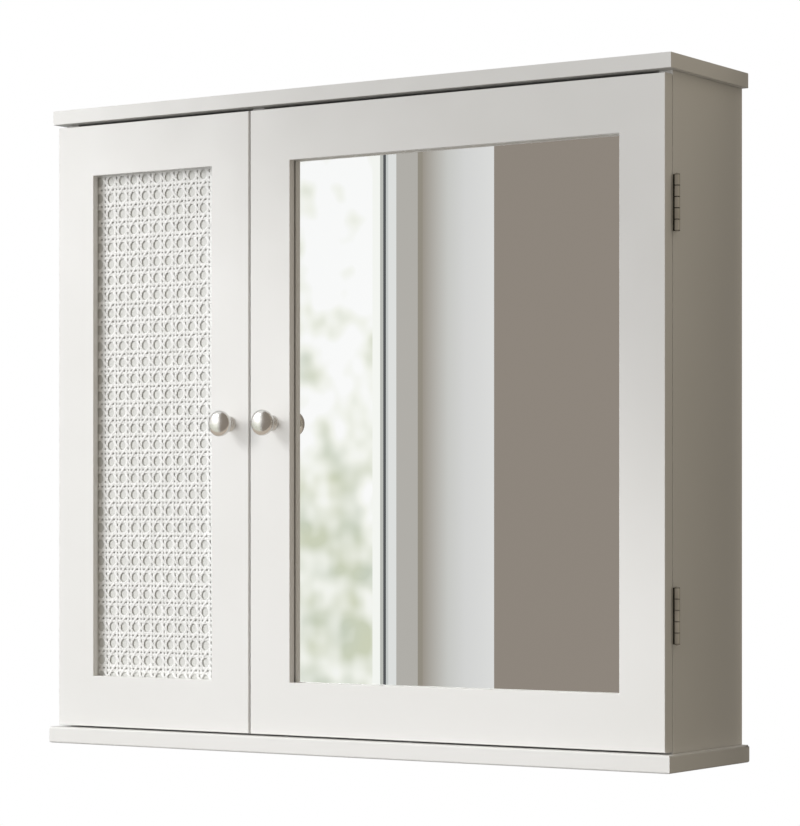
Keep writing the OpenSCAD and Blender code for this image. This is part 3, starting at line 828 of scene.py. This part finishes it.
def add_world():
    """White behind the object. What it casts is dimmer and warmer to the right and behind."""
    world = bpy.data.worlds.new("studio")
    bpy.context.scene.world = world
    world.use_nodes = True
    world.node_tree.nodes.clear()
    t = Tree(world.node_tree, "Generated")
    cast = t.ramp(t.span(t.along("X"), -1, 1), ACROSS_STOPS)
    for axis, stops in (("Y", DEPTH_STOPS), ("Z", HEIGHT_STOPS)):
        cast = t.mix(1.0, cast, t.ramp(t.span(t.along(axis), -1, 1), stops), "MULTIPLY")
    light = t.add("ShaderNodeBackground")
    white = t.add("ShaderNodeBackground")
    white.inputs["Color"].default_value = (1, 1, 1, 1)
    seen = t.add("ShaderNodeLightPath")
    choose = t.add("ShaderNodeMixShader")
    out = t.add("ShaderNodeOutputWorld")
    t.link(cast, light.inputs["Color"])
    t.link(seen.outputs["Is Camera Ray"], choose.inputs[0])
    t.link(light.outputs[0], choose.inputs[1])
    t.link(white.outputs[0], choose.inputs[2])
    t.link(choose.outputs[0], out.inputs["Surface"])


# ---------------------------------------------------------------- lamps

# Directions towards the lights
WINDOW_WAY = Vector((-0.8, -1.0, 0.18)).normalized()
SUN_WAY = Vector((-1.2, -1.0, 0.65)).normalized()
WINDOW_DISTANCE = 14.0
WINDOW_SIZE = (4.7, 5.4)
WINDOW_POWER = 615
SUN_DISTANCE = 30.0
SUN_SPREAD = 4.5
SUN_LAMPS = 12
SUN_LAMP_RADIUS = 0.08
SUN_BEAM = math.radians(7.5)
SUN_BEAM_SOFT = 0.2
SUN_POWER = 16800
GOLDEN_ANGLE = 2.39996
# The knobs throw no shadow from the window, nor from every so many lamps of the sun
KNOBS = ("left_turned_knob", "right_turned_knob")
UNSHADED_STEP = 4
# The slanting edge of the shade: a point on it, its slope, and half the width over which it fades
SHADE_POINT = (-0.075, -0.1305, 0.2)
SHADE_SLOPE = -0.7
SHADE_SOFT = 0.11


def add_lamp(name, kind, way, distance):
    data = bpy.data.lights.new(name, kind)
    lamp = bpy.data.objects.new(name, data)
    lamp.location = way * distance
    lamp.rotation_euler = (-way).to_track_quat("-Z", "Y").to_euler()
    bpy.context.scene.collection.objects.link(lamp)
    return lamp, data


def keep_shadows_off(lamp, names):
    """The named pieces throw no shadow from this lamp, so theirs stay as faint as in a bright room."""
    blockers = bpy.data.collections.new(lamp.name + "_blockers")
    for name in names:
        blockers.objects.link(bpy.data.objects[name])
    for entry in blockers.collection_objects:
        entry.light_linking.link_state = "EXCLUDE"
    lamp.light_linking.blocker_collection = blockers


def add_window_light():
    """A tall soft window on the left, in front."""
    lamp, data = add_lamp("window_light", "AREA", WINDOW_WAY, WINDOW_DISTANCE)
    data.shape = "RECTANGLE"
    data.size, data.size_y = WINDOW_SIZE
    data.energy = WINDOW_POWER
    data.color = (0.98, 0.99, 1.0)
    keep_shadows_off(lamp, KNOBS)


def shade_mask(lamp):
    """Cuts a lamp off along the soft slanting edge of the shade."""
    turn = lamp.rotation_euler.to_matrix().transposed()
    point = turn @ (Vector(SHADE_POINT) - lamp.location)
    edge = turn @ Vector((1.0, 0.0, SHADE_SLOPE))
    # Normal of the plane through the lamp and the shade's edge, towards the lit side
    normal = point.cross(edge).normalized()
    if normal.dot(turn @ Vector((0, 0, -1))) < 0:
        normal = -normal
    lamp.data.use_nodes = True
    t = Tree(lamp.data.node_tree, "Normal")
    dot = t.add("ShaderNodeVectorMath", operation="DOT_PRODUCT")
    dot.inputs[1].default_value = normal
    t.link(t.place, dot.inputs[0])
    width = SHADE_SOFT / SUN_DISTANCE
    t.link(t.span(dot.outputs["Value"], -width, width, shape="SMOOTHSTEP"), t.glow_input("Strength"))


def add_sun_patch():
    """Low sun from the left as a close cluster of small lamps, shaded above and to the right of the doors."""
    across = SUN_WAY.cross(Vector((0, 0, 1))).normalized()
    up = across.cross(SUN_WAY)
    for k in range(SUN_LAMPS):
        turn = k * GOLDEN_ANGLE
        out = SUN_SPREAD * math.sqrt((k + 0.5) / SUN_LAMPS)
        shift = (across * math.cos(turn) + up * math.sin(turn)) * out
        way = (SUN_WAY * SUN_DISTANCE + shift).normalized()
        lamp, data = add_lamp("sun_%d" % k, "SPOT", way, SUN_DISTANCE)
        data.energy = SUN_POWER / SUN_LAMPS
        data.color = (1.0, 1.0, 1.0)
        data.shadow_soft_size = SUN_LAMP_RADIUS
        data.spot_size = SUN_BEAM
        data.spot_blend = SUN_BEAM_SOFT
        shade_mask(lamp)
        if k % UNSHADED_STEP == 0:
            keep_shadows_off(lamp, KNOBS)


# ---------------------------------------------------------------- floor

FLOOR_Z = -2.5
FLOOR_REACH = 30


def add_floor():
    """A pale sheet far below, which only the camera sees."""
    corners = level_corners(-FLOOR_REACH, FLOOR_REACH, -FLOOR_REACH, FLOOR_REACH, FLOOR_Z)
    floor = mesh_object("floor", corners, [(0, 1, 2, 3)], emitter("pale_floor", (1.0, 1.0, 1.0)))
    floor.visible_diffuse = False
    floor.visible_glossy = False
    floor.visible_shadow = False


# ---------------------------------------------------------------- build

add_camera()
dress_cad_nodes()
ease_all()
add_cane()
add_mirror()
for knob_side in ("left", "right"):
    add_knob(knob_side)
add_room()
add_room_floor()
add_shade_card()
add_world()
add_window_light()
add_sun_patch()
add_floor()
bpy.context.scene.view_settings.view_transform = "Standard"
